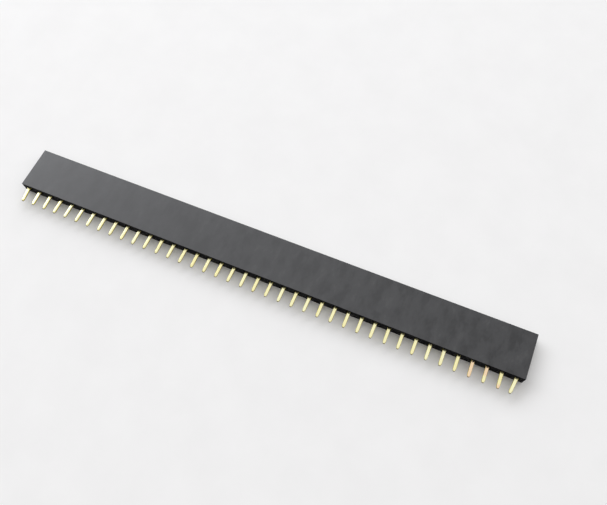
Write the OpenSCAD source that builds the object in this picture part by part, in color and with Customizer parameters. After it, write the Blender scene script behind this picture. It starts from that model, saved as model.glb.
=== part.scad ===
// Female pin header strip: one moulded housing and a row of stamped spring contacts.
// X runs along the row, Y points to the mating face and Z is up. All sizes are in millimetres.
// The strip lies on its broad side, and the origin is on the surface under its middle.

/* [Row] */
// Number of contacts in the row
contact_count = 40; // [2:1:50]
// Distance from one contact to the next
pitch = 2.54; // [2.1:0.01:3.2]
// Plastic past the last contact's share of the row, at each end
end_margin = 0.05; // [0:0.05:1]

/* [Housing] */
// Height of the housing, from the tail face to the mating face
body_height = 8.5; // [7:0.1:12]
// Thickness of the housing across its broad sides
body_thickness = 2.5; // [2.1:0.1:4]
// Width of each contact's chamber, along the row
chamber_width = 1.6; // [1.4:0.05:1.95]
// Thickness of the chamber, where the springs move
chamber_thickness = 1.0; // [0.8:0.05:1.1]
// Thickness of the pocket at the tail face, which holds a contact's base
pocket_thickness = 1.3; // [1.25:0.05:1.5]
// Depth of that pocket
pocket_depth = 2.4; // [2:0.1:3.2]
// Side of the square hole that a mating post passes
throat_size = 1.0; // [0.8:0.05:1.1]
// Length of that hole
throat_length = 0.4; // [0.2:0.05:0.8]
// Width of the lead-in at the mating face, along the row
mouth_width = 1.7; // [1.3:0.05:2.05]
// Thickness of the lead-in at the mating face
mouth_thickness = 2.0; // [1.3:0.05:2.05]
// Depth of the lead-in
mouth_depth = 0.6; // [0.3:0.05:1]

/* [Contact sheet] */
// Thickness of the sheet that a contact is stamped from
sheet = 0.25; // [0.15:0.01:0.3]
// Clearance between a contact's base and each side wall of its chamber
side_gap = 0.1; // [0.05:0.01:0.15]
// Clearance between a contact's base and the upper wall of its pocket
base_gap = 0.05; // [0.02:0.01:0.06]
// Inner radius of the folds that turn the two arms down
fold_radius = 0.1; // [0.05:0.01:0.15]

/* [Contact tail] */
// Length of the tail outside the housing
tail_length = 3.0; // [2:0.1:5]
// Width of the tail
tail_width = 0.6; // [0.4:0.05:0.7]
// Length of the taper at the tail's tip
tip_length = 0.45; // [0.2:0.05:0.8]
// Width of the tip's end
tip_width = 0.34; // [0.2:0.02:0.4]
// Thickness of the tip's end
tip_thickness = 0.14; // [0.1:0.01:0.15]
// Height of the tail above the post's axis
tail_offset = 0.25; // [0:0.05:0.3]
// Depth inside the housing at which the tail starts to jog up to the base
tail_seat = 0.1; // [0:0.05:0.3]
// Angle of the jog from the tail up to the base
jog_angle = 35; // [30:1:40]
// Radius of the jog's two bends, at the middle of the sheet
jog_radius = 0.26; // [0.22:0.01:0.3]

/* [Contact base] */
// Length of the flat base between the jog and the arms
barb_run = 0.4; // [0.3:0.05:0.6]
// Length of the flat at the point of each barb
barb_flat = 0.06; // [0.04:0.01:0.1]
// Length of the relief between the barbs and the arms
relief_length = 0.1; // [0.05:0.01:0.15]

/* [Contact springs] */
// Width of a spring at its root
spring_width = 0.7; // [0.5:0.05:0.75]
// Length over which a spring widens past the end of the base
widen_length = 0.3; // [0.2:0.05:0.5]
// Width of a spring at its tip
spring_tip_width = 0.5; // [0.3:0.05:0.6]
// Distance between the two springs where they grip the post
grip_gap = 0.34; // [0.2:0.02:0.5]
// Distance from the chamber's closed end back to the grip
grip_setback = 1.2; // [1:0.05:1.6]
// Radius of each spring's bends, at the middle of the sheet
bend_radius = 0.6; // [0.4:0.05:0.8]
// Angle of the flare at the springs' tips
flare_angle = 26; // [15:1:30]
// Length of the straight part of the flare
flare_length = 0.5; // [0.2:0.05:0.6]

/* [Hidden] */
$fn = 48;
over = 1;  // how far a cutting shape runs past a face

// The housing, in the frame of the part
body_length = contact_count * pitch + 2 * end_margin;
axis_z = body_thickness / 2;
tail_face = (tail_length - body_height) / 2;

// A cell, in its own frame: Y starts at the tail face, and the post's axis is at X = 0, Z = 0
chamber_end = body_height - mouth_depth - throat_length;

// A contact, in the frame of its cell: the base lies under the upper wall, and the arms fold down from it
base_half = chamber_width / 2 - side_gap;
base_z = pocket_thickness / 2 - base_gap - sheet / 2;
jog_run = (base_z - tail_offset - 2 * jog_radius * (1 - cos(jog_angle))) / sin(jog_angle);
base_start = tail_seat + 2 * jog_radius * sin(jog_angle) + jog_run * cos(jog_angle);
arm_start = base_start + barb_run;
arm_x = base_half - sheet / 2;
arm_edge = -spring_width / 2;
fold_middle = fold_radius + sheet / 2;
fold_end = base_z - fold_middle;
flat_half = arm_x - fold_middle;
lap = 0.2;  // how far two stretches of one contact run into each other
stub = 0.05;  // how far a bend runs on straight at each end, within its neighbours

// A spring leans in round one bend, runs straight and leaves the grip round another:
// the straight run's length and angle make it tangent to both
lean_across = arm_x - (grip_gap + sheet) / 2;
lean_along = chamber_end - grip_setback - pocket_depth;
both_radii = 2 * bend_radius;
lean_run = sqrt(pow(lean_along, 2) + pow(both_radii - lean_across, 2) - pow(both_radii, 2));
lean_angle = atan2(lean_along, both_radii - lean_across) - atan2(lean_run, both_radii);

function cell_x(i) = (i - (contact_count + 1) / 2) * pitch;
function contact_name(i) = str("contact_", i < 10 ? "0" : "", i);

// Moves a shape from a cell's own frame to cell number i.
module in_cell(i) {
    translate([cell_x(i), tail_face, axis_z])
        children();
}

// A block centred on the post's axis, from one depth to another.
module cell_block(width, thickness, from, to) {
    translate([-width / 2, from, -thickness / 2])
        cube([width, to - from, thickness]);
}

// The outline of a lead-in that narrows from the mating face down to the square hole.
module mouth_outline(width) {
    top = body_height;
    grow = (width - throat_size) / 2 * over / mouth_depth;
    polygon([
        [-throat_size / 2, top - mouth_depth], [throat_size / 2, top - mouth_depth],
        [width / 2 + grow, top + over], [-width / 2 - grow, top + over]
    ]);
}

// The lead-in: the two outlines, along the row and across it, cut each other to a square funnel.
module mouth() {
    intersection() {
        linear_extrude(body_thickness * 2, center = true)
            mouth_outline(mouth_width);
        rotate([0, -90, 0])
            linear_extrude(pitch * 2, center = true)
                mouth_outline(mouth_thickness);
    }
}

// All that is cut from the housing for one contact.
module cell_cut() {
    cell_block(chamber_width, pocket_thickness, -over, pocket_depth);
    cell_block(chamber_width, chamber_thickness, 0, chamber_end);
    cell_block(throat_size, throat_size, 0, body_height);
    mouth();
}

module housing() {
    color([0.13, 0.13, 0.14])
        difference() {
            translate([-body_length / 2, tail_face, 0])
                cube([body_length, body_height, body_thickness]);
            for (i = [1:contact_count])
                in_cell(i)
                    cell_cut();
        }
}

// A disc with a straight side past each end of a bend: one of its two edges.
module bend_edge(radius, angle) {
    circle(radius);
    translate([0, -stub])
        square([radius, stub]);
    rotate(angle)
        square([radius, stub]);
}

// A bend of up to 90 degrees that starts on the +X axis and turns left about the origin.
module bend(radius, angle) {
    reach = 2 * radius + sheet;
    intersection() {
        difference() {
            bend_edge(radius + sheet / 2, angle);
            bend_edge(radius - sheet / 2, angle);
        }
        polygon([
            [0, 0], [0, -stub], [reach, -stub], [reach, reach * tan(angle / 2)],
            [reach * cos(angle) - stub * sin(angle), reach * sin(angle) + stub * cos(angle)],
            [-stub * sin(angle), stub * cos(angle)]
        ]);
    }
}

// The edge view of a bent sheet. It starts at the origin along +Y, and each step is
// [straight run, angle turned after it, radius of the turn]: a positive angle turns left.
module bent_sheet(steps, at = 0) {
    if (at < len(steps)) {
        run = steps[at][0];
        angle = steps[at][1];
        radius = steps[at][2];
        side = sign(angle);
        translate([-sheet / 2, 0])
            square([sheet, run]);
        translate([-side * radius, run]) {
            if (side != 0)
                mirror([side < 0 ? 1 : 0, 0])
                    bend(radius, abs(angle));
            rotate(angle)
                translate([side * radius, 0])
                    bent_sheet(steps, at + 1);
        }
    }
}

// Turns a shape drawn in X and Y so that its X is up and its Y stays along the cell.
module on_edge() {
    rotate([0, -90, 0])
        children();
}

// The tail and the flat base, seen from the side: straight, jogged up, and straight again.
module tail_side() {
    on_edge()
        linear_extrude(2 * chamber_width, center = true)
            translate([tail_offset, 0])
                difference() {
                    translate([0, -tail_length])
                        bent_sheet([
                            [tail_length + tail_seat, -jog_angle, jog_radius],
                            [jog_run, jog_angle, jog_radius],
                            [barb_run + lap, 0, 0]
                        ]);
                    for (side = [0, 1])
                        mirror([side, 0])
                            polygon([
                                [tip_thickness / 2, -tail_length - over], [sheet, -tail_length - over],
                                [sheet, tip_length - tail_length], [sheet / 2, tip_length - tail_length],
                                [tip_thickness / 2, -tail_length]
                            ]);
                }
}

// The tail and the flat base, seen from above, with a barb on each side that meets the chamber's wall.
module tail_plan() {
    half_plan = [
        [tip_width / 2, -tail_length],
        [tail_width / 2, tip_length - tail_length],
        [tail_width / 2, base_start],
        [chamber_width / 2, base_start],
        [chamber_width / 2, base_start + barb_flat],
        [base_half, arm_start - relief_length],
        [flat_half, arm_start - relief_length],
        [flat_half, arm_start + lap]
    ];
    other_half = [for (i = [len(half_plan) - 1:-1:0]) [-half_plan[i][0], half_plan[i][1]]];
    linear_extrude(2 * pocket_thickness, center = true)
        polygon(concat(half_plan, other_half));
}

// The base between its two arms: a channel with rounded folds, open downwards.
module channel() {
    arm_run = fold_end - arm_edge;
    translate([0, pocket_depth, 0])
        rotate([90, 0, 0])
            linear_extrude(pocket_depth - arm_start)
                translate([arm_x, arm_edge])
                    bent_sheet([
                        [arm_run, 90, fold_middle],
                        [2 * flat_half, 90, fold_middle],
                        [arm_run, 0, 0]
                    ]);
}

// The two springs, which lean in to the grip and flare out again. They start within the channel's arms,
// widen across the post's axis past the end of the base, and narrow towards their tips.
module springs() {
    intersection() {
        linear_extrude(2 * spring_width, center = true)
            for (side = [0, 1])
                mirror([side, 0])
                    translate([arm_x, pocket_depth - lap])
                        bent_sheet([
                            [lap, lean_angle, bend_radius],
                            [lean_run, -lean_angle - flare_angle, bend_radius],
                            [flare_length, 0, 0]
                        ]);
        on_edge()
            linear_extrude(2 * chamber_width, center = true)
                polygon([
                    [arm_edge, pocket_depth - lap], [fold_end, pocket_depth - lap], [fold_end, pocket_depth],
                    [spring_width / 2, pocket_depth + widen_length], [spring_tip_width / 2, chamber_end],
                    [-spring_tip_width / 2, chamber_end], [arm_edge, pocket_depth]
                ]);
    }
}

module contact(i) {
    color([0.86, 0.74, 0.38])
        in_cell(i) {
            intersection() {
                tail_side();
                tail_plan();
            }
            channel();
            springs();
        }
}

housing();
for (i = [1:contact_count])
    contact(i);
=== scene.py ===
import math
import random

import bmesh
import bpy
from mathutils import Matrix, Vector


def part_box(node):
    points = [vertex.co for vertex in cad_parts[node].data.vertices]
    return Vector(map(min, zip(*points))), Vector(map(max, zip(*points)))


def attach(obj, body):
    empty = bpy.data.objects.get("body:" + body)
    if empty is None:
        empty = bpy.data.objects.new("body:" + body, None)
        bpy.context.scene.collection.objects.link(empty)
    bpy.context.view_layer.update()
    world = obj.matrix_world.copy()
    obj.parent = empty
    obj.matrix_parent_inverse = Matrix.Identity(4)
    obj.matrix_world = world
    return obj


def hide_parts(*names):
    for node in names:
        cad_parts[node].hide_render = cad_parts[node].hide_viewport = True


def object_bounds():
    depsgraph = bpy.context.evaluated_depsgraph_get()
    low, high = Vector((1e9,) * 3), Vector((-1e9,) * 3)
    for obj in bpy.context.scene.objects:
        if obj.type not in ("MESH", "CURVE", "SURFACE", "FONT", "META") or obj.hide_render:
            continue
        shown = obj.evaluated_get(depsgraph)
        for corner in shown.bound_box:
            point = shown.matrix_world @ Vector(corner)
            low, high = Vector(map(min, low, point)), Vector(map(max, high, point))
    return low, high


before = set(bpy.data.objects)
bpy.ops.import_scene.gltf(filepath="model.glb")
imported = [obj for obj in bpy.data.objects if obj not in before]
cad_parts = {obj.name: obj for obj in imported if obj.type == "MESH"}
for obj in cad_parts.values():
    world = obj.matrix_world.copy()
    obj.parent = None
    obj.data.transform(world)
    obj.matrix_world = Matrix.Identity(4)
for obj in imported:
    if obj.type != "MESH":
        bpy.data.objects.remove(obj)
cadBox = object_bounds()
mm = 0.001
contactNames = sorted(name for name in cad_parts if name.startswith("contact_"))
print("frame loaded:", len(contactNames), "contacts in one housing")


# camera

cameraView = {
    "lookAt": (6.84, 5.14, 1.25),  # mm, a little right of the middle of the strip
    "distance": 114.33,  # mm
    "azimuth": 27.51,  # degrees, 0 looks along +Y
    "elevation": 65.81,
    "roll": -4.84,
    "lens": 36.08,
}


def placeCamera(look):
    camera = bpy.data.objects.new("tableCamera", bpy.data.cameras.new("tableCamera"))
    bpy.context.scene.collection.objects.link(camera)
    turn = Matrix.Rotation(math.radians(look["azimuth"]), 4, "Z")
    tip = Matrix.Rotation(math.radians(90 - look["elevation"]), 4, "X")
    roll = Matrix.Rotation(math.radians(look["roll"]), 4, "Z")
    back = Matrix.Translation((0, 0, look["distance"] * mm))
    camera.matrix_world = Matrix.Translation(Vector(look["lookAt"]) * mm) @ turn @ tip @ back @ roll
    camera.data.lens = look["lens"]
    camera.data.sensor_width = 36
    camera.data.clip_start = 0.002
    bpy.context.scene.camera = camera


placeCamera(cameraView)
print("camera placed")


# node helpers, for the node tree of a material or of the world

def feed(tree, value, socket):
    # a node's output is linked, and a plain number or colour is set
    if isinstance(value, bpy.types.NodeSocket):
        tree.links.new(value, socket)
    elif isinstance(value, tuple):
        socket.default_value = (*value, 1)
    else:
        socket.default_value = value


def newMaterial(name):
    material = bpy.data.materials.new(name)
    material.use_nodes = True
    return material, material.node_tree, material.node_tree.nodes["Principled BSDF"]


def millimetres(tree, stretch=(1, 1, 1)):
    # the piece's own place in mm, stretched to lengthen or flatten a pattern
    place = tree.nodes.new("ShaderNodeTexCoord")
    scale = tree.nodes.new("ShaderNodeMapping")
    scale.inputs["Scale"].default_value = [s / mm for s in stretch]
    feed(tree, place.outputs["Object"], scale.inputs["Vector"])
    return scale.outputs["Vector"]


def split(tree, vector):
    node = tree.nodes.new("ShaderNodeSeparateXYZ")
    feed(tree, vector, node.inputs["Vector"])
    return node.outputs["X"], node.outputs["Y"]


def attribute(tree, name):
    node = tree.nodes.new("ShaderNodeAttribute")
    node.attribute_name = name
    return node.outputs["Fac"]


def noise(tree, vector, perMm, detail=3.0, rough=0.55):
    node = tree.nodes.new("ShaderNodeTexNoise")
    node.inputs["Scale"].default_value = perMm
    node.inputs["Detail"].default_value = detail
    node.inputs["Roughness"].default_value = rough
    feed(tree, vector, node.inputs["Vector"])
    return node.outputs["Fac"]


def remap(tree, value, before, after=(0.0, 1.0), smooth=False):
    node = tree.nodes.new("ShaderNodeMapRange")
    node.interpolation_type = "SMOOTHSTEP" if smooth else "LINEAR"
    feed(tree, value, node.inputs["Value"])
    for name, number in zip(("From Min", "From Max", "To Min", "To Max"), (*before, *after)):
        node.inputs[name].default_value = number
    return node.outputs["Result"]


def sums(tree, operation, *values):
    node = tree.nodes.new("ShaderNodeMath")
    node.operation = operation
    for value, socket in zip(values, node.inputs):
        feed(tree, value, socket)
    return node.outputs[0]


def mix(tree, share, a, b, kind="RGBA"):
    node = tree.nodes.new("ShaderNodeMix")
    node.data_type = kind
    first, result = {"FLOAT": (2, 0), "RGBA": (6, 2)}[kind]
    feed(tree, share, node.inputs["Factor"])
    feed(tree, a, node.inputs[first])
    feed(tree, b, node.inputs[first + 1])
    return node.outputs[result]


def bump(tree, height, strength, distanceMm, under=None):
    node = tree.nodes.new("ShaderNodeBump")
    node.inputs["Strength"].default_value = strength
    node.inputs["Distance"].default_value = distanceMm * mm
    feed(tree, height, node.inputs["Height"])
    if under:
        feed(tree, under, node.inputs["Normal"])
    return node.outputs["Normal"]


# black plastic

plasticLook = {
    "dark": (0.011, 0.011, 0.0125),
    "light": (0.017, 0.017, 0.019),
    "flowPerMm": 0.35,
    "flowStretch": 0.4,  # the melt's flow lines run across the strip
    "mottlePerMm": 1.6,
    "toneRange": (0.75, 1.25),  # flow and mottle together, from dark to light
    "worn": (0.04, 0.04, 0.042),
    "wornPerMm": 2.2,
    "wornRange": (0.4, 0.65),
    "specular": 0.80,
    "specularShadedSide": 0.05,  # painted shade: the sides that the tails and posts pass get almost no reflection, so they render as dark as sides in shade
    "rough": (0.45, 0.52),
    "roughShadedSide": 0.3,  # added there
    "roughRange": (0.3, 0.7),
    "grainPerMm": 9.0,
    "grainStrength": 0.5,
    "grainDepth": 0.005,  # mm
    "sinkDepth": 0.004,  # mm, the faint hollow over each chamber
    "sinkPerMm": 0.16,
    "sinkRange": (0.4, 0.6),
    "wavePerMm": 0.6,
    "waveDepth": 0.018,  # mm, the slow unevenness of the moulded skin
    "streakStretch": 0.5,  # smudges and waves run across the strip
    "smudgePerMm": 0.50,
    "smudgeRange": (0.44, 0.64),
    "smudge": (0.004, 0.004, 0.005),  # where hands have greased the skin
    "smudgeRough": 0.09,
    "rubbedRange": (0.44, 0.30),
    "rubbed": (0.030, 0.030, 0.031),  # where the strip has slid in its tray
    "handled": (0.2, 1.0),  # how much of both shows at the first contact and at the last
    "handledRough": (-0.10, 0.14),  # roughness added at the first contact and at the last
}


def blackPlastic(name, look, specular, roughAdded, pitch, ends):
    material, tree, shader = newMaterial(name)
    place = millimetres(tree)
    along = split(tree, place)[0]
    flow = noise(tree, millimetres(tree, (1, look["flowStretch"], 1)), look["flowPerMm"], 4, 0.6)
    grain = noise(tree, place, look["grainPerMm"], 2, 0.5)
    mottle = noise(tree, place, look["mottlePerMm"], 3, 0.6)
    tone = remap(tree, sums(tree, "ADD", flow, mottle), look["toneRange"])
    colour = mix(tree, tone, look["dark"], look["light"])

    acrossStrip = millimetres(tree, (1, look["streakStretch"], 1))
    streaks = noise(tree, acrossStrip, look["smudgePerMm"], 5, 0.6)
    handled = remap(tree, along, ends, look["handled"])
    smudge = sums(tree, "MULTIPLY", remap(tree, streaks, look["smudgeRange"], smooth=True), handled)
    rubbed = sums(tree, "MULTIPLY", remap(tree, streaks, look["rubbedRange"], smooth=True), handled)
    colour = mix(tree, smudge, colour, look["smudge"])
    colour = mix(tree, rubbed, colour, look["rubbed"])
    patchy = remap(tree, noise(tree, place, look["wornPerMm"]), look["wornRange"])
    worn = sums(tree, "MULTIPLY", attribute(tree, "worn"), patchy)
    feed(tree, mix(tree, worn, colour, look["worn"]), shader.inputs["Base Color"])

    rough = remap(tree, mottle, look["roughRange"], tuple(r + roughAdded for r in look["rough"]))
    rough = sums(tree, "ADD", rough, remap(tree, along, ends, look["handledRough"]))
    greasy = sums(tree, "MULTIPLY", smudge, look["smudgeRough"])
    feed(tree, sums(tree, "ADD", rough, greasy), shader.inputs["Roughness"])
    shader.inputs["Specular IOR Level"].default_value = specular

    pitches = sums(tree, "DIVIDE", sums(tree, "SUBTRACT", along, ends[0]), pitch)
    band = sums(tree, "COSINE", sums(tree, "MULTIPLY", pitches, 2 * math.pi))
    uneven = remap(tree, noise(tree, place, look["sinkPerMm"], 2), look["sinkRange"])
    sink = sums(tree, "MULTIPLY", remap(tree, band, (-1, 1)), uneven)
    wave = noise(tree, acrossStrip, look["wavePerMm"], 3, 0.5)
    skin = bump(tree, sink, 1.0, look["sinkDepth"], bump(tree, wave, 1.0, look["waveDepth"]))
    skin = bump(tree, grain, look["grainStrength"], look["grainDepth"], skin)
    feed(tree, skin, shader.inputs["Normal"])
    return material


# gold plate

goldLook = {
    "pale": (0.93, 0.90, 0.58),
    "deep": (0.90, 0.82, 0.43),
    "tintPerMm": 0.9,
    "tintStretch": (1, 0.15, 0.4),
    "tintRange": (0.35, 0.65),
    "shadedCutEdge": (0.42, 0.35, 0.07),  # painted shade on the sheared sides: a dark olive that stands in for their shade and the dark line beside each tail
    "darkTip": (0.20, 0.17, 0.09),  # darker over the last stretch of each tail, with a ragged edge
    "darkTipLength": 0.09,  # mm
    "darkTipFade": 0.02,  # mm
    "raggedPerMm": 7.0,
    "ragged": 0.05,  # mm
    # painted reflection: the rosy glint on a few tails
    "rosyReflection": (0.88, 0.66, 0.44),
    "rosyFade": 0.5,  # mm along the tail
    "rosySide": 0.1,  # mm, between one tail and the next
    "rough": (0.17, 0.28),
    "roughRange": (0.3, 0.7),
    "roughCut": 0.55,
    "linesPerMm": 22.0,
    "lineStretch": (1, 0.06, 1),  # the rolling lines run along the tail
    "lineStrength": 0.4,
    "lineDepth": 0.002,  # mm
}

# painted reflection: a rosy glint on a few tails, from one place to another, in mm from the housing
rosyReflectionTails = {37: (-3.1, 0.2), 38: (-1.5, 0.2), 39: (-3.1, -2.5)}


def rosyReflectionShare(tree, look, x, y, firstX, pitch, boardY):
    # 1 on the stretches of a few tails that get a painted rosy reflection
    share = 0.0
    for number, (low, high) in rosyReflectionTails.items():
        middle = firstX + (number - 1) * pitch
        beside = sums(tree, "ABSOLUTE", sums(tree, "SUBTRACT", x, middle))
        stretch = remap(tree, beside, (pitch / 2 - look["rosySide"], pitch / 2), (1.0, 0.0))
        for end, outward in ((low, -look["rosyFade"]), (high, look["rosyFade"])):
            edge = remap(tree, y, (boardY + end, boardY + end + outward), (1.0, 0.0))
            stretch = sums(tree, "MULTIPLY", stretch, edge)
        share = sums(tree, "MAXIMUM", share, stretch)
    return share


def goldPlate(look, tailEnd, boardY, firstX, pitch):
    material, tree, shader = newMaterial("goldPlate")
    place = millimetres(tree)
    x, y = split(tree, place)
    tint = noise(tree, millimetres(tree, look["tintStretch"]), look["tintPerMm"], 2)
    colour = mix(tree, remap(tree, tint, look["tintRange"]), look["pale"], look["deep"])
    # painted reflection: a rosy glint on a few tails
    colour = mix(tree, rosyReflectionShare(tree, look, x, y, firstX, pitch, boardY), colour, look["rosyReflection"])
    cut = attribute(tree, "shadedCutEdge")
    # painted shade: the sheared and rounded sides of the tail are coloured dark olive
    colour = mix(tree, cut, colour, look["shadedCutEdge"])
    # each tail is coloured darker over its last stretch, with a ragged edge
    ragged = sums(tree, "MULTIPLY", noise(tree, place, look["raggedPerMm"]), look["ragged"])
    fromEnd = sums(tree, "SUBTRACT", sums(tree, "SUBTRACT", y, tailEnd), ragged)
    darkEnd = remap(tree, fromEnd, (look["darkTipLength"] - look["darkTipFade"], look["darkTipLength"]), (1.0, 0.0))
    feed(tree, mix(tree, darkEnd, colour, look["darkTip"]), shader.inputs["Base Color"])
    shader.inputs["Metallic"].default_value = 1.0

    lines = noise(tree, millimetres(tree, look["lineStretch"]), look["linesPerMm"], 3, 0.6)
    rough = remap(tree, lines, look["roughRange"], look["rough"])
    worked = sums(tree, "MULTIPLY", sums(tree, "MAXIMUM", cut, darkEnd), look["roughCut"])
    feed(tree, sums(tree, "MAXIMUM", rough, worked), shader.inputs["Roughness"])
    feed(tree, bump(tree, lines, look["lineStrength"], look["lineDepth"]), shader.inputs["Normal"])
    return material


# bmesh helpers

tiny = 1e-4  # mm, within which two places are the same
weld = 0.001  # mm, within which two corners are merged


def near(a, b):
    return abs(a - b) < tiny


def edgesWhere(bm, x=None, y=None, z=None):
    # the edges that lie wholly at the given places
    wanted = [(axis, value) for axis, value in enumerate((x, y, z)) if value is not None]
    return [e for e in bm.edges if all(near(v.co[a], value) for v in e.verts for a, value in wanted)]


def pushEdges(bm, edges, by):
    grown = bmesh.ops.extrude_edge_only(bm, edges=edges)["geom"]
    bmesh.ops.translate(bm, vec=by, verts=[g for g in grown if isinstance(g, bmesh.types.BMVert)])
    return [g for g in grown if isinstance(g, bmesh.types.BMEdge)]


def bendEdges(bm, edges, centre, axis, degrees, steps):
    done = bmesh.ops.spin(bm, geom=edges, cent=centre, axis=axis, dvec=(0, 0, 0),
                          angle=math.radians(degrees), steps=steps, use_duplicate=False)
    return [g for g in done["geom_last"] if isinstance(g, bmesh.types.BMEdge)]


def roundOff(bm, edges, width, segments):
    return bmesh.ops.bevel(bm, geom=edges, offset=width, offset_type="OFFSET", segments=segments,
                           profile=0.5, affect="EDGES", clamp_overlap=True, material=-1)["faces"]


def meshFrom(bm, name):
    mesh = bpy.data.meshes.new(name)
    bm.to_mesh(mesh)
    bm.free()
    return mesh


def applied(mesh, setUp):
    # the mesh with its modifiers made real
    piece = bpy.data.objects.new("workpiece", mesh)
    bpy.context.scene.collection.objects.link(piece)
    setUp(piece)
    graph = bpy.context.evaluated_depsgraph_get()
    finished = bpy.data.meshes.new_from_object(piece.evaluated_get(graph), depsgraph=graph)
    bpy.data.objects.remove(piece)
    return finished


# housing

housingCuts = {  # mm
    "mouthWidth": 1.7,
    "mouthThickness": 2.0,
    "mouthDepth": 0.6,
    "throat": 1.0,
    "throatLength": 0.4,
    "chamberWidth": 1.6,
    "chamberThickness": 1.0,
    "pocketThickness": 1.3,
    "pocketDepth": 2.4,
    "outerRounding": 0.06,
    "outerSegments": 3,
    "mouthRounding": 0.05,
    "slotRounding": 0.04,
    "rimSegments": 2,
    "rimWear": 0.6,  # against 1 on the outer edges
    "rimAngle": 0.4,  # radians, edges flatter than this are no rim
    "shadedSideFrom": 0.7,  # how squarely a face must look along Y to take the plastic with painted shade
}


def fitFace(bm, face, x, z, width, thickness):
    # moves and scales a face that looks along Y to a centred size
    xs = [v.co.x for v in face.verts]
    zs = [v.co.z for v in face.verts]
    old = Vector(((min(xs) + max(xs)) / 2, 0, (min(zs) + max(zs)) / 2))
    grow = Matrix.Diagonal((width / (max(xs) - min(xs)), 1, thickness / (max(zs) - min(zs)), 1))
    move = Matrix.Translation((x, 0, z)) @ grow @ Matrix.Translation(-old)
    bmesh.ops.transform(bm, matrix=move, verts=face.verts)


def insetTo(bm, face, x, z, width, thickness):
    bmesh.ops.inset_individual(bm, faces=[face], thickness=0.1)  # any inset does, as the next line sizes it
    fitFace(bm, face, x, z, width, thickness)


def sinkTo(bm, face, y, x, z, width, thickness):
    face = bmesh.ops.extrude_discrete_faces(bm, faces=[face])["faces"][0]
    bmesh.ops.translate(bm, vec=(0, y - face.calc_center_median().y, 0), verts=face.verts)
    fitFace(bm, face, x, z, width, thickness)
    return face


def cutCell(bm, cuts, mating, board, x, z):
    # one chamber, from the mouth down to the slot that the tail leaves by
    top = mating.calc_center_median().y
    mouthEnd = top - cuts["mouthDepth"]
    throatEnd = mouthEnd - cuts["throatLength"]
    pocketEnd = board.calc_center_median().y + cuts["pocketDepth"]
    throat = cuts["throat"]
    chamber = (cuts["chamberWidth"], cuts["chamberThickness"])
    pocket = (cuts["chamberWidth"], cuts["pocketThickness"])
    insetTo(bm, mating, x, z, cuts["mouthWidth"], cuts["mouthThickness"])
    insetTo(bm, board, x, z, *pocket)
    bottom = sinkTo(bm, mating, mouthEnd, x, z, throat, throat)
    bottom = sinkTo(bm, bottom, throatEnd, x, z, throat, throat)
    bottom = sinkTo(bm, bottom, throatEnd, x, z, *chamber)
    bottom = sinkTo(bm, bottom, pocketEnd, x, z, *chamber)
    bottom = sinkTo(bm, bottom, pocketEnd, x, z, *pocket)
    loops = list(bottom.edges) + list(board.edges)
    bmesh.ops.delete(bm, geom=[bottom, board], context="FACES_ONLY")
    bmesh.ops.bridge_loops(bm, edges=loops)


def buildHousing(cuts, cellXs):
    low, high = [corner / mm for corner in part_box("housing")]
    size, middle = high - low, (high + low) / 2
    bm = bmesh.new()
    bmesh.ops.create_cube(bm, size=1)
    bmesh.ops.scale(bm, vec=size, verts=bm.verts)
    bmesh.ops.translate(bm, vec=middle, verts=bm.verts)
    worn = bm.faces.layers.float.new("worn")
    for face in roundOff(bm, bm.edges[:], cuts["outerRounding"], cuts["outerSegments"]):
        face[worn] = 1.0
    for a, b in zip(cellXs, cellXs[1:]):
        bmesh.ops.bisect_plane(bm, geom=bm.verts[:] + bm.edges[:] + bm.faces[:],
                               plane_co=((a + b) / 2, 0, 0), plane_no=(1, 0, 0))
    ends = [sorted((f for f in bm.faces if near(f.normal.y, side) and f.calc_area() > 1),
                   key=lambda f: f.calc_center_median().x) for side in (1, -1)]
    for x, mating, board in zip(cellXs, *ends):
        cutCell(bm, cuts, mating, board, x, middle.z)
    for y, amount in ((high.y, cuts["mouthRounding"]), (low.y, cuts["slotRounding"])):
        rims = [e for e in edgesWhere(bm, y=y) if e.calc_face_angle(0) > cuts["rimAngle"]]
        for face in roundOff(bm, rims, amount, cuts["rimSegments"]):
            face[worn] = cuts["rimWear"]
    bmesh.ops.remove_doubles(bm, verts=bm.verts, dist=2 * weld)
    bmesh.ops.dissolve_degenerate(bm, edges=bm.edges, dist=weld)
    bmesh.ops.recalc_face_normals(bm, faces=bm.faces)
    for face in bm.faces:
        # faces looking along Y take the second material, which paints shade on them
        face.material_index = int(abs(face.normal.y) > cuts["shadedSideFrom"])
    bmesh.ops.scale(bm, vec=(mm, mm, mm), verts=bm.verts)
    return meshFrom(bm, "mouldedHousing")


# contacts

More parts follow.
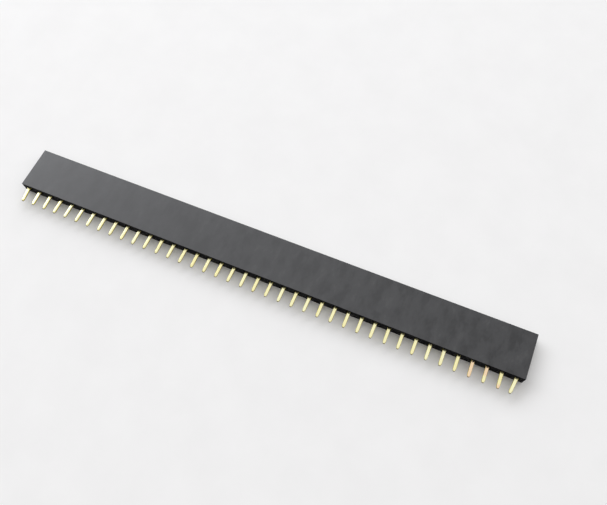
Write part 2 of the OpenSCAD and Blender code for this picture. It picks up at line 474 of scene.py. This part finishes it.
contactShape = {  # mm, as the sheet is stamped and folded
    "sheet": 0.25,
    "tailLength": 3.0,
    "tailWidth": 0.6,
    "tipLength": 0.45,
    "tipWidth": 0.34,
    "tipThickness": 0.14,
    "tailOffset": 0.25,  # above the post's axis
    "tailSeat": 0.1,
    "jogAngle": 35,
    "jogRadius": 0.26,
    "sideGap": 0.1,
    "baseGap": 0.05,
    "barbRun": 0.4,
    "barbFlat": 0.06,
    "relief": 0.1,
    "foldRadius": 0.1,
    "springWidth": 0.7,
    "springTipWidth": 0.5,
    "widenLength": 0.3,
    "gripGap": 0.34,
    "gripSetback": 1.2,
    "bendRadius": 0.6,
    "flareAngle": 26,
    "flareLength": 0.5,
    "edgeRounding": 0.022,
    "edgeSegments": 2,
    "tailRounding": 0.05,  # the sheared edges of the tail are rolled over more
    "tailSegments": 3,
    "squareAngle": 60,  # degrees, a sheared edge is squarer than this
    "squareLength": 0.4,  # and longer than this
    "edgeAngle": 35,  # degrees, other edges squarer than this are rounded a little
    "jogSteps": 5,
    "foldSteps": 6,
    "leanSteps": 4,
    "runSteps": 8,
    "gripSteps": 8,
    "flareSteps": 2,
    "slant": 0.012,  # most that a tail leans sideways, per mm of its length
    "lift": 0.010,  # and up or down
}

bentTails = {1: 0.13, 2: 0.08, 3: 0.05, 40: -0.15}  # tails bent further, per mm of their length, towards +X


def springLine(shape, cuts, armX, chamberEnd):
    # the straight run and the angle that lead a spring in from its arm to the grip
    across = armX - (shape["gripGap"] + shape["sheet"]) / 2
    along = chamberEnd - shape["gripSetback"] - cuts["pocketDepth"]
    radii = 2 * shape["bendRadius"]
    run = math.sqrt(along ** 2 + (radii - across) ** 2 - radii ** 2)
    return run, math.degrees(math.atan2(along, radii - across) - math.atan2(run, radii))


def halfTail(bm, shape, baseZ):
    # half of the tail, its tapered tip and the jog up to the base
    length, half = shape["tailLength"], shape["tailWidth"] / 2
    bmesh.ops.create_grid(bm, x_segments=1, y_segments=1, size=0.5)
    bmesh.ops.scale(bm, vec=(half, shape["tipLength"], 1), verts=bm.verts)
    middle = (half / 2, shape["tipLength"] / 2 - length, shape["tailOffset"])
    bmesh.ops.translate(bm, vec=middle, verts=bm.verts)
    corner = [v for v in bm.verts if near(v.co.x, half) and near(v.co.y, -length)]
    bmesh.ops.translate(bm, vec=((shape["tipWidth"] - shape["tailWidth"]) / 2, 0, 0), verts=corner)
    front = edgesWhere(bm, y=shape["tipLength"] - length)
    front = pushEdges(bm, front, (0, length - shape["tipLength"], 0))
    front = pushEdges(bm, front, (0, shape["tailSeat"], 0))
    angle, radius = shape["jogAngle"], shape["jogRadius"]
    up, ahead = math.sin(math.radians(angle)), math.cos(math.radians(angle))
    rise = (baseZ - shape["tailOffset"] - 2 * radius * (1 - ahead)) / up
    centre = (0, shape["tailSeat"], shape["tailOffset"] + radius)
    front = bendEdges(bm, front, centre, (1, 0, 0), angle, shape["jogSteps"])
    front = pushEdges(bm, front, (0, rise * ahead, rise * up))
    at = front[0].verts[0].co
    centre = (0, at.y + radius * up, at.z - radius * ahead)
    return bendEdges(bm, front, centre, (1, 0, 0), -angle, shape["jogSteps"])


def halfBase(bm, shape, cuts, front, baseZ, armX, foldMiddle):
    # half of the flat base: the barb, the relief and the folded arm
    start = front[0].verts[0].co.y
    flatHalf = armX - foldMiddle
    armStart = start + shape["barbRun"]
    pushEdges(bm, front, (0, shape["barbFlat"], 0))
    side = edgesWhere(bm, x=shape["tailWidth"] / 2, z=baseZ)
    side = [e for e in side if near(e.calc_length(), shape["barbFlat"])]
    side = pushEdges(bm, side, (flatHalf - shape["tailWidth"] / 2, 0, 0))
    side = pushEdges(bm, side, (cuts["chamberWidth"] / 2 - flatHalf, 0, 0))
    front = edgesWhere(bm, y=start + shape["barbFlat"], z=baseZ)
    front = pushEdges(bm, front, (0, armStart - shape["relief"] - start - shape["barbFlat"], 0))
    corner = {v for e in front for v in e.verts if near(v.co.x, cuts["chamberWidth"] / 2)}
    bmesh.ops.translate(bm, vec=(-shape["sideGap"], 0, 0), verts=list(corner))
    front = [e for e in front if all(v.co.x < flatHalf + tiny for v in e.verts)]
    front = pushEdges(bm, front, (0, shape["relief"], 0))
    pushEdges(bm, front, (0, cuts["pocketDepth"] - armStart, 0))
    fold = edgesWhere(bm, x=flatHalf, z=baseZ)
    fold = [e for e in fold if near(e.calc_length(), cuts["pocketDepth"] - armStart)]
    arm = bendEdges(bm, fold, (flatHalf, 0, baseZ - foldMiddle), (0, 1, 0), 90, shape["foldSteps"])
    pushEdges(bm, arm, (0, 0, foldMiddle - baseZ - shape["springWidth"] / 2))


def halfSpring(bm, shape, cuts, armX, foldEnd, chamberEnd):
    # the spring: in to the grip round one bend, out again round another
    start, radius = cuts["pocketDepth"], shape["bendRadius"]
    run, lean = springLine(shape, cuts, armX, chamberEnd)
    front = [e for e in edgesWhere(bm, x=armX, y=start) if min(v.co.z for v in e.verts) < foldEnd - tiny]
    front = bendEdges(bm, front, (armX - radius, start, 0), (0, 0, 1), lean, shape["leanSteps"])
    across, along = math.sin(math.radians(lean)), math.cos(math.radians(lean))
    step = run / shape["runSteps"]
    for times in range(shape["runSteps"]):
        front = pushEdges(bm, front, (-across * step, along * step, 0))
    at = front[0].verts[0].co
    centre = (at.x + radius * along, at.y + radius * across, 0)
    front = bendEdges(bm, front, centre, (0, 0, 1), -lean - shape["flareAngle"], shape["gripSteps"])
    flare = math.radians(shape["flareAngle"])
    step = shape["flareLength"] / shape["flareSteps"]
    for times in range(shape["flareSteps"]):
        front = pushEdges(bm, front, (math.sin(flare) * step, math.cos(flare) * step, 0))
    root, tip = shape["springWidth"] / 2, shape["springTipWidth"] / 2
    for v in bm.verts:
        past = v.co.y - start
        if past > tiny:
            if v.co.z < 0:
                v.co.z = (root - tip) * past / (chamberEnd - start) - root
            elif past < shape["widenLength"]:
                v.co.z = foldEnd + (root - foldEnd) * past / shape["widenLength"]
            else:
                share = (past - shape["widenLength"]) / (chamberEnd - start - shape["widenLength"])
                v.co.z = root - (root - tip) * share


def thickenSheet(piece, shape):
    # the tip is coined thinner than the rest of the sheet
    tail = piece.vertex_groups.new(name="fullSheet")
    for v in piece.data.vertices:
        atTip = near(v.co.y, -shape["tailLength"])
        tail.add([v.index], shape["tipThickness"] / shape["sheet"] if atTip else 1.0, "REPLACE")
    solid = piece.modifiers.new("sheet", "SOLIDIFY")
    solid.thickness = shape["sheet"]
    solid.offset = 0
    solid.use_even_offset = True
    solid.vertex_group = tail.name
    for slotNumber in range(2):
        piece.data.materials.append(None)
    solid.material_offset_rim = 1


def roundEdges(piece, shape):
    edges = piece.modifiers.new("edges", "BEVEL")
    edges.width = shape["edgeRounding"]
    edges.segments = shape["edgeSegments"]
    edges.limit_method = "ANGLE"
    edges.angle_limit = math.radians(shape["edgeAngle"])


def buildContact(shape, cuts):
    # one contact in mm, about its cell: Y from the board face, Z about the post's axis
    baseZ = cuts["pocketThickness"] / 2 - shape["baseGap"] - shape["sheet"] / 2
    armX = cuts["chamberWidth"] / 2 - shape["sideGap"] - shape["sheet"] / 2
    foldMiddle = shape["foldRadius"] + shape["sheet"] / 2
    low, high = [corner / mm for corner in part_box("housing")]
    chamberEnd = high.y - low.y - cuts["mouthDepth"] - cuts["throatLength"]
    bm = bmesh.new()
    front = halfTail(bm, shape, baseZ)
    halfBase(bm, shape, cuts, front, baseZ, armX, foldMiddle)
    halfSpring(bm, shape, cuts, armX, baseZ - foldMiddle, chamberEnd)
    bmesh.ops.remove_doubles(bm, verts=bm.verts, dist=weld)
    bmesh.ops.mirror(bm, geom=bm.verts[:] + bm.edges[:] + bm.faces[:], matrix=Matrix.Identity(4),
                     merge_dist=weld, axis="X")
    bmesh.ops.recalc_face_normals(bm, faces=bm.faces)
    sheet = applied(meshFrom(bm, "sheetMiddle"), lambda piece: thickenSheet(piece, shape))
    bm = bmesh.new()
    bm.from_mesh(sheet)
    shadedCutEdge = bm.faces.layers.float.new("shadedCutEdge")
    for face in bm.faces:
        face[shadedCutEdge] = face.material_index
        face.material_index = 0
    bmesh.ops.dissolve_degenerate(bm, edges=bm.edges, dist=weld / 2)
    tail = [e for e in bm.edges if all(v.co.y < shape["tailSeat"] + tiny for v in e.verts)]
    sheared = [e for e in tail if e.calc_face_angle(0) > math.radians(shape["squareAngle"])
               and e.calc_length() > shape["squareLength"]]
    # the rolled-over edges of the tail take the painted shade as well
    for face in roundOff(bm, sheared, shape["tailRounding"], shape["tailSegments"]):
        face[shadedCutEdge] = 1.0
    bmesh.ops.recalc_face_normals(bm, faces=bm.faces)
    return applied(meshFrom(bm, "sheetWhole"), lambda piece: roundEdges(piece, shape))


def placeContact(mesh, name, bent, shape, axisZ, boardY, hand):
    # a copy of the contact in its cell, its tail leaning a little as the real ones do
    low, high = [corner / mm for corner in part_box(name)]
    bm = bmesh.new()
    bm.from_mesh(mesh)
    lean = Matrix.Identity(4)
    lean[0][1] = hand.uniform(-1, 1) * shape["slant"] - bent
    lean[2][1] = hand.uniform(-1, 1) * shape["lift"]
    bmesh.ops.transform(bm, matrix=lean, verts=[v for v in bm.verts if v.co.y < 0])
    bmesh.ops.translate(bm, vec=((low.x + high.x) / 2, boardY, axisZ), verts=bm.verts)
    bmesh.ops.scale(bm, vec=(mm, mm, mm), verts=bm.verts)
    return meshFrom(bm, name.replace("contact", "sprungContact"))


# putting it together

creaseAngle = 50  # degrees, edges squarer than this stay sharp


def addPiece(mesh, materials, slotName, *nodes):
    piece = bpy.data.objects.new(mesh.name, mesh)
    bpy.context.scene.collection.objects.link(piece)
    for material in materials:
        mesh.materials.append(material)
    mesh.shade_smooth()
    mesh.set_sharp_from_angle(angle=math.radians(creaseAngle))
    normals = piece.modifiers.new("normals", "WEIGHTED_NORMAL")
    normals.keep_sharp = True
    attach(piece, "root")
    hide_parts(*nodes)
    return piece


cellXs = []
for name in contactNames:
    low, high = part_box(name)
    cellXs.append((low.x + high.x) / 2 / mm)
housingLow, housingHigh = [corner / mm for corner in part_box("housing")]
pitch = (cellXs[-1] - cellXs[0]) / (len(cellXs) - 1)
rowEnds = (cellXs[0], cellXs[-1])
skins = [blackPlastic(name, plasticLook, specular, roughAdded, pitch, rowEnds) for name, specular, roughAdded in (
    ("satinPlastic", plasticLook["specular"], 0),
    # a copy of the same plastic with almost no reflection, for the sides looking along Y: painted shade
    ("shadedSidePlastic", plasticLook["specularShadedSide"], plasticLook["roughShadedSide"]),
)]
addPiece(buildHousing(housingCuts, cellXs), skins, "housing", "housing")
print("housing moulded")

gold = goldPlate(goldLook, cadBox[0].y / mm, housingLow.y, cellXs[0], pitch)
contactMesh = buildContact(contactShape, housingCuts)
hand = random.Random(12)
for number, name in enumerate(contactNames, 1):
    bent = bentTails.get(number, 0)
    mesh = placeContact(contactMesh, name, bent, contactShape, (housingLow.z + housingHigh.z) / 2,
                        housingLow.y, hand)
    addPiece(mesh, [gold], "contact", name)
bpy.data.meshes.remove(contactMesh)
print("contacts stamped and fitted")


# table, lamp and world

tableLook = {
    "size": 6.0,  # metres
    "bright": (0.890, 0.880, 0.870),
    "shade": (0.870, 0.860, 0.850),
    "fibrePerMm": 0.12,
    "fibreRange": (0.35, 0.65),
    "rough": 0.9,
    "specular": 0.2,
    "fade": (140, 600),  # mm from the strip, where the paper turns into the plain backdrop
    "backdrop": 0.93,
}


def layTable(look):
    bm = bmesh.new()
    bmesh.ops.create_grid(bm, x_segments=1, y_segments=1, size=look["size"] / 2)
    table = bpy.data.objects.new("paperTable", meshFrom(bm, "paperTable"))
    bpy.context.scene.collection.objects.link(table)
    material, tree, shader = newMaterial("whitePaper")
    place = millimetres(tree)
    fibre = remap(tree, noise(tree, place, look["fibrePerMm"], 4), look["fibreRange"])
    feed(tree, mix(tree, fibre, look["bright"], look["shade"]), shader.inputs["Base Color"])
    shader.inputs["Roughness"].default_value = look["rough"]
    shader.inputs["Specular IOR Level"].default_value = look["specular"]

    away = tree.nodes.new("ShaderNodeVectorMath")
    away.operation = "LENGTH"
    feed(tree, place, away.inputs[0])
    fade = remap(tree, away.outputs["Value"], look["fade"], smooth=True)
    path = tree.nodes.new("ShaderNodeLightPath")
    seen = sums(tree, "MAXIMUM", path.outputs["Is Camera Ray"], path.outputs["Is Glossy Ray"])
    seen = sums(tree, "MAXIMUM", seen, path.outputs["Is Transmission Ray"])
    backdrop = tree.nodes.new("ShaderNodeEmission")
    backdrop.inputs["Strength"].default_value = look["backdrop"]
    blend = tree.nodes.new("ShaderNodeMixShader")
    feed(tree, sums(tree, "MULTIPLY", fade, seen), blend.inputs["Fac"])
    feed(tree, shader.outputs["BSDF"], blend.inputs[1])
    feed(tree, backdrop.outputs["Emission"], blend.inputs[2])
    feed(tree, blend.outputs["Shader"], tree.nodes["Material Output"].inputs["Surface"])
    table.data.materials.append(material)


lampLook = {
    "azimuth": -45,  # degrees from +Y, towards -X
    "elevation": 36,
    "distance": 1000,  # mm
    "width": 1800,
    "height": 500,
    "watts": 9.2,
    "colour": (0.97, 0.99, 1.035),
}


def hangLamp(look):
    lamp = bpy.data.objects.new("windowLamp", bpy.data.lights.new("windowLamp", "AREA"))
    bpy.context.scene.collection.objects.link(lamp)
    lamp.data.shape = "RECTANGLE"
    lamp.data.size = look["width"] * mm
    lamp.data.size_y = look["height"] * mm
    lamp.data.energy = look["watts"]
    lamp.data.color = look["colour"]
    turn = Matrix.Rotation(math.radians(180 - look["azimuth"]), 4, "Z")
    tip = Matrix.Rotation(math.radians(90 - look["elevation"]), 4, "X")
    lamp.matrix_world = turn @ tip @ Matrix.Translation((0, 0, look["distance"] * mm))


roomLook = {
    "brightSide": (0.10, 0.50, 0.85),  # the way to the bright part of the ceiling
    "fade": (0.15, 0.80),  # cosine of the angle to it, where the room is darkest and brightest
    "plain": (0.05, 0.98),
    "glossy": (0.60, 1.0),
    "seen": 0.93,  # as the table's backdrop
}


def lightWorld(look):
    # a bright stretch of ceiling past the object, a dim near side, and plain white where the camera sees it
    world = bpy.data.worlds.new("softRoom")
    bpy.context.scene.world = world
    world.use_nodes = True
    tree = world.node_tree
    sky = tree.nodes["Background"]
    sky.inputs["Color"].default_value = (1, 1, 1, 1)
    way = tree.nodes.new("ShaderNodeTexCoord")
    toCeiling = tree.nodes.new("ShaderNodeVectorMath")
    toCeiling.operation = "DOT_PRODUCT"
    toCeiling.inputs[1].default_value = Vector(look["brightSide"]).normalized()
    feed(tree, way.outputs["Generated"], toCeiling.inputs[0])
    plain, glossy = [remap(tree, toCeiling.outputs["Value"], look["fade"], look[key], smooth=True)
                     for key in ("plain", "glossy")]
    path = tree.nodes.new("ShaderNodeLightPath")
    shiny = sums(tree, "MAXIMUM", path.outputs["Is Glossy Ray"], path.outputs["Is Transmission Ray"])
    strength = mix(tree, shiny, plain, glossy, "FLOAT")
    strength = mix(tree, path.outputs["Is Camera Ray"], strength, look["seen"], "FLOAT")
    feed(tree, strength, sky.inputs["Strength"])


layTable(tableLook)
hangLamp(lampLook)
lightWorld(roomLook)
bpy.context.scene.view_settings.view_transform = "Standard"
print("table, lamp and world set")
